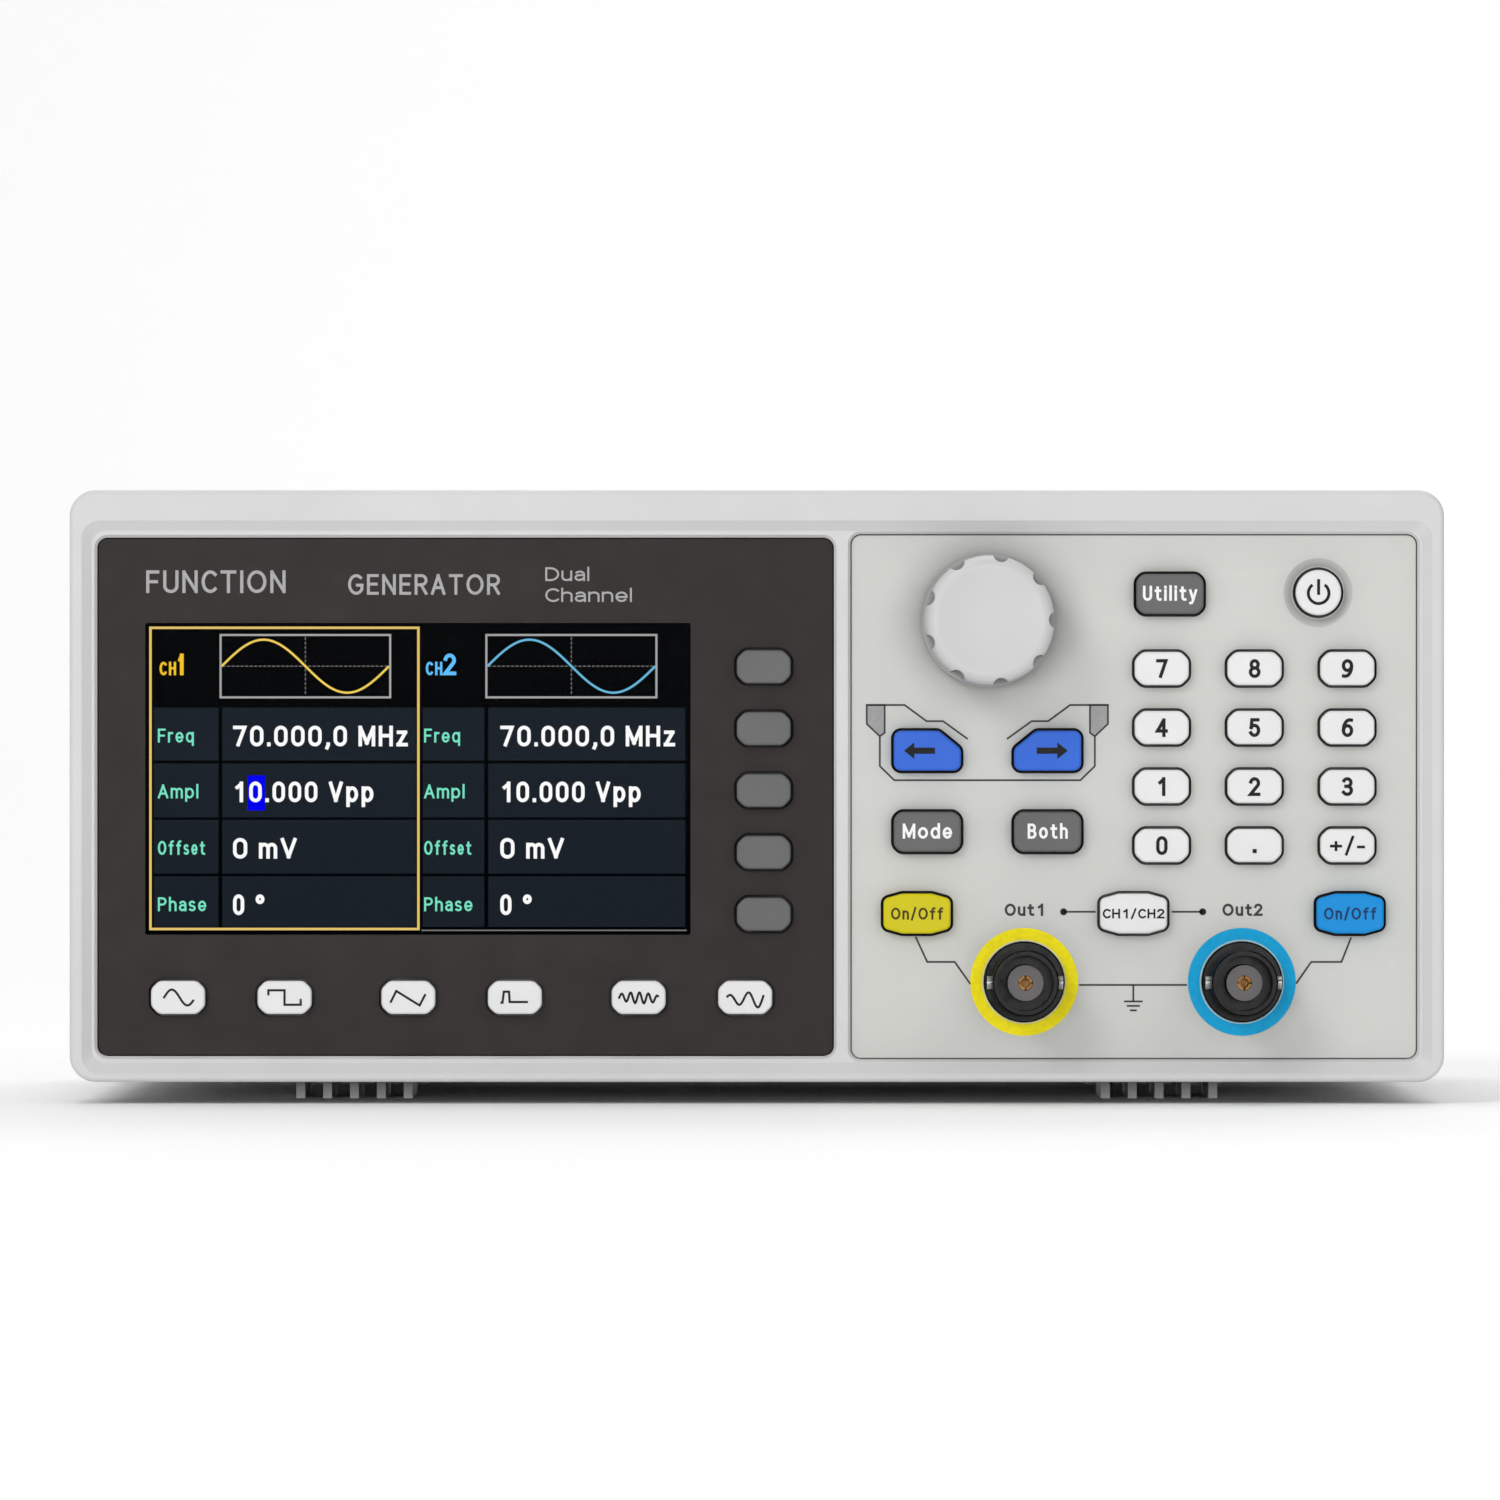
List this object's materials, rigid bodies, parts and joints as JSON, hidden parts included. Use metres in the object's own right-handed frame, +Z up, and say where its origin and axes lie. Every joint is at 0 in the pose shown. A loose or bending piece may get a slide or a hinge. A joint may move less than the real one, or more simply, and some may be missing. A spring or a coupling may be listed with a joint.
{
  "type": "function generator",
  "caption": "Bench function generator with a colour display, a numeric keypad, a tuning knob, coaxial outputs, a rear mains inlet and fold-out front legs.",
  "frame": {"origin": "under the middle of the whole box, on the surface the feet stand on", "axes": "+X to the right seen from the front, +Y to the rear, +Z up"},
  "size_m": [0.2, 0.1642, 0.0893],
  "materials": {
    "light_plastic": "fine satin moulding",
    "dark_panel": "soft sheen",
    "display_lens": "clear, glossy",
    "panel_overlay": "fine texture",
    "lcd_module": "glossy black glass in a steel frame",
    "silicone": "matte",
    "circuit_board": "solder mask",
    "steel": "plated",
    "knob_plastic": "satin",
    "dark_nickel": "black nickel",
    "insulator": "matte",
    "gold": "gold plated",
    "rear_metal": "powder coat",
    "aluminium": "extruded",
    "black_plastic": "moulded",
    "cable_sheath": "soft sheath",
    "white_key": "satin",
    "grey_key": "satin",
    "blue_key": "satin",
    "yellow_key": "satin",
    "cyan_key": "satin"
  },
  "bodies": {
    "housing": {"front_bezel": "light_plastic", "screen_panel": "dark_panel", "display_lens": "display_lens", "keypad_panel": "panel_overlay", "lcd_module": "lcd_module", "key_mats": "silicone", "front_board": "circuit_board", "rotary_encoder": "steel", "bnc_shells": "dark_nickel", "bnc_insulators": "insulator", "bnc_contacts": "gold", "bnc_nuts": "steel", "top_cover": "light_plastic", "bottom_cover": "light_plastic", "rear_panel": "rear_metal", "main_board": "circuit_board", "heat_sink": "aluminium", "power_board": "circuit_board", "power_inlet": "black_plastic", "usb_port": "steel", "internal_cables": "cable_sheath", "screws": "steel"},
    "tuning_knob": {"tuning_knob": "knob_plastic", "encoder_shaft": "steel"},
    "tilt_leg_left": {"tilt_leg_left": "light_plastic"},
    "tilt_leg_right": {"tilt_leg_right": "light_plastic"},
    "fuse_drawer": {"fuse_drawer": "black_plastic"},
    "power_rocker": {"power_rocker": "black_plastic"},
    "key_0": {"key_0": "white_key"},
    "key_1": {"key_1": "white_key"},
    "key_2": {"key_2": "white_key"},
    "key_3": {"key_3": "white_key"},
    "key_4": {"key_4": "white_key"},
    "key_5": {"key_5": "white_key"},
    "key_6": {"key_6": "white_key"},
    "key_7": {"key_7": "white_key"},
    "key_8": {"key_8": "white_key"},
    "key_9": {"key_9": "white_key"},
    "key_point": {"key_point": "white_key"},
    "key_sign": {"key_sign": "white_key"},
    "soft_key_1": {"soft_key_1": "grey_key"},
    "soft_key_2": {"soft_key_2": "grey_key"},
    "soft_key_3": {"soft_key_3": "grey_key"},
    "soft_key_4": {"soft_key_4": "grey_key"},
    "soft_key_5": {"soft_key_5": "grey_key"},
    "sine_key": {"sine_key": "white_key"},
    "square_key": {"square_key": "white_key"},
    "ramp_key": {"ramp_key": "white_key"},
    "pulse_key": {"pulse_key": "white_key"},
    "noise_key": {"noise_key": "white_key"},
    "arbitrary_key": {"arbitrary_key": "white_key"},
    "utility_key": {"utility_key": "grey_key"},
    "mode_key": {"mode_key": "grey_key"},
    "both_key": {"both_key": "grey_key"},
    "left_arrow_key": {"left_arrow_key": "blue_key"},
    "right_arrow_key": {"right_arrow_key": "blue_key"},
    "output_1_key": {"output_1_key": "yellow_key"},
    "channel_select_key": {"channel_select_key": "white_key"},
    "output_2_key": {"output_2_key": "cyan_key"},
    "power_key": {"power_key": "white_key"}
  },
  "joints": [
    {"name": "key_0_press", "type": "slide", "parent": "housing", "child": "key_0", "axis": [0, 1, 0], "range_m": [0, 0.0012], "stiffness_N_per_m": 500, "springref_m": -0.001},
    {"name": "key_1_press", "type": "slide", "parent": "housing", "child": "key_1", "axis": [0, 1, 0], "range_m": [0, 0.0012], "stiffness_N_per_m": 500, "springref_m": -0.001},
    {"name": "key_2_press", "type": "slide", "parent": "housing", "child": "key_2", "axis": [0, 1, 0], "range_m": [0, 0.0012], "stiffness_N_per_m": 500, "springref_m": -0.001},
    {"name": "key_3_press", "type": "slide", "parent": "housing", "child": "key_3", "axis": [0, 1, 0], "range_m": [0, 0.0012], "stiffness_N_per_m": 500, "springref_m": -0.001},
    {"name": "key_4_press", "type": "slide", "parent": "housing", "child": "key_4", "axis": [0, 1, 0], "range_m": [0, 0.0012], "stiffness_N_per_m": 500, "springref_m": -0.001},
    {"name": "key_5_press", "type": "slide", "parent": "housing", "child": "key_5", "axis": [0, 1, 0], "range_m": [0, 0.0012], "stiffness_N_per_m": 500, "springref_m": -0.001},
    {"name": "key_6_press", "type": "slide", "parent": "housing", "child": "key_6", "axis": [0, 1, 0], "range_m": [0, 0.0012], "stiffness_N_per_m": 500, "springref_m": -0.001},
    {"name": "key_7_press", "type": "slide", "parent": "housing", "child": "key_7", "axis": [0, 1, 0], "range_m": [0, 0.0012], "stiffness_N_per_m": 500, "springref_m": -0.001},
    {"name": "key_8_press", "type": "slide", "parent": "housing", "child": "key_8", "axis": [0, 1, 0], "range_m": [0, 0.0012], "stiffness_N_per_m": 500, "springref_m": -0.001},
    {"name": "key_9_press", "type": "slide", "parent": "housing", "child": "key_9", "axis": [0, 1, 0], "range_m": [0, 0.0012], "stiffness_N_per_m": 500, "springref_m": -0.001},
    {"name": "key_point_press", "type": "slide", "parent": "housing", "child": "key_point", "axis": [0, 1, 0], "range_m": [0, 0.0012], "stiffness_N_per_m": 500, "springref_m": -0.001},
    {"name": "key_sign_press", "type": "slide", "parent": "housing", "child": "key_sign", "axis": [0, 1, 0], "range_m": [0, 0.0012], "stiffness_N_per_m": 500, "springref_m": -0.001},
    {"name": "soft_key_1_press", "type": "slide", "parent": "housing", "child": "soft_key_1", "axis": [0, 1, 0], "range_m": [0, 0.0012], "stiffness_N_per_m": 500, "springref_m": -0.001},
    {"name": "soft_key_2_press", "type": "slide", "parent": "housing", "child": "soft_key_2", "axis": [0, 1, 0], "range_m": [0, 0.0012], "stiffness_N_per_m": 500, "springref_m": -0.001},
    {"name": "soft_key_3_press", "type": "slide", "parent": "housing", "child": "soft_key_3", "axis": [0, 1, 0], "range_m": [0, 0.0012], "stiffness_N_per_m": 500, "springref_m": -0.001},
    {"name": "soft_key_4_press", "type": "slide", "parent": "housing", "child": "soft_key_4", "axis": [0, 1, 0], "range_m": [0, 0.0012], "stiffness_N_per_m": 500, "springref_m": -0.001},
    {"name": "soft_key_5_press", "type": "slide", "parent": "housing", "child": "soft_key_5", "axis": [0, 1, 0], "range_m": [0, 0.0012], "stiffness_N_per_m": 500, "springref_m": -0.001},
    {"name": "sine_key_press", "type": "slide", "parent": "housing", "child": "sine_key", "axis": [0, 1, 0], "range_m": [0, 0.0012], "stiffness_N_per_m": 500, "springref_m": -0.001},
    {"name": "square_key_press", "type": "slide", "parent": "housing", "child": "square_key", "axis": [0, 1, 0], "range_m": [0, 0.0012], "stiffness_N_per_m": 500, "springref_m": -0.001},
    {"name": "ramp_key_press", "type": "slide", "parent": "housing", "child": "ramp_key", "axis": [0, 1, 0], "range_m": [0, 0.0012], "stiffness_N_per_m": 500, "springref_m": -0.001},
    {"name": "pulse_key_press", "type": "slide", "parent": "housing", "child": "pulse_key", "axis": [0, 1, 0], "range_m": [0, 0.0012], "stiffness_N_per_m": 500, "springref_m": -0.001},
    {"name": "noise_key_press", "type": "slide", "parent": "housing", "child": "noise_key", "axis": [0, 1, 0], "range_m": [0, 0.0012], "stiffness_N_per_m": 500, "springref_m": -0.001},
    {"name": "arbitrary_key_press", "type": "slide", "parent": "housing", "child": "arbitrary_key", "axis": [0, 1, 0], "range_m": [0, 0.0012], "stiffness_N_per_m": 500, "springref_m": -0.001},
    {"name": "utility_key_press", "type": "slide", "parent": "housing", "child": "utility_key", "axis": [0, 1, 0], "range_m": [0, 0.0012], "stiffness_N_per_m": 500, "springref_m": -0.001},
    {"name": "mode_key_press", "type": "slide", "parent": "housing", "child": "mode_key", "axis": [0, 1, 0], "range_m": [0, 0.0012], "stiffness_N_per_m": 500, "springref_m": -0.001},
    {"name": "both_key_press", "type": "slide", "parent": "housing", "child": "both_key", "axis": [0, 1, 0], "range_m": [0, 0.0012], "stiffness_N_per_m": 500, "springref_m": -0.001},
    {"name": "left_arrow_key_press", "type": "slide", "parent": "housing", "child": "left_arrow_key", "axis": [0, 1, 0], "range_m": [0, 0.0012], "stiffness_N_per_m": 500, "springref_m": -0.001},
    {"name": "right_arrow_key_press", "type": "slide", "parent": "housing", "child": "right_arrow_key", "axis": [0, 1, 0], "range_m": [0, 0.0012], "stiffness_N_per_m": 500, "springref_m": -0.001},
    {"name": "output_1_key_press", "type": "slide", "parent": "housing", "child": "output_1_key", "axis": [0, 1, 0], "range_m": [0, 0.0012], "stiffness_N_per_m": 500, "springref_m": -0.001},
    {"name": "channel_select_key_press", "type": "slide", "parent": "housing", "child": "channel_select_key", "axis": [0, 1, 0], "range_m": [0, 0.0012], "stiffness_N_per_m": 500, "springref_m": -0.001},
    {"name": "output_2_key_press", "type": "slide", "parent": "housing", "child": "output_2_key", "axis": [0, 1, 0], "range_m": [0, 0.0012], "stiffness_N_per_m": 500, "springref_m": -0.001},
    {"name": "power_key_press", "type": "slide", "parent": "housing", "child": "power_key", "axis": [0, 1, 0], "range_m": [0, 0.0012], "stiffness_N_per_m": 500, "springref_m": -0.001},
    {"name": "knob_turn", "type": "hinge", "parent": "housing", "child": "tuning_knob", "pos_m": [0.03366, -0.06905, 0.0703], "axis": [0, -1, 0], "continuous": true},
    {"name": "left_leg_fold", "type": "hinge", "parent": "housing", "child": "tilt_leg_left", "pos_m": [-0.0595, -0.04205, 0.0056], "axis": [-1, 0, 0], "range_deg": [0, 95]},
    {"name": "right_leg_fold", "type": "hinge", "parent": "housing", "child": "tilt_leg_right", "pos_m": [0.0595, -0.04205, 0.0056], "axis": [-1, 0, 0], "range_deg": [0, 95]},
    {"name": "power_rocker_tilt", "type": "hinge", "parent": "housing", "child": "power_rocker", "pos_m": [-0.0395, 0.06895, 0.034], "axis": [1, 0, 0], "range_deg": [-20, 0]},
    {"name": "fuse_drawer_slide", "type": "slide", "parent": "housing", "child": "fuse_drawer", "axis": [0, 1, 0], "range_m": [0, 0.018]}
  ]
}
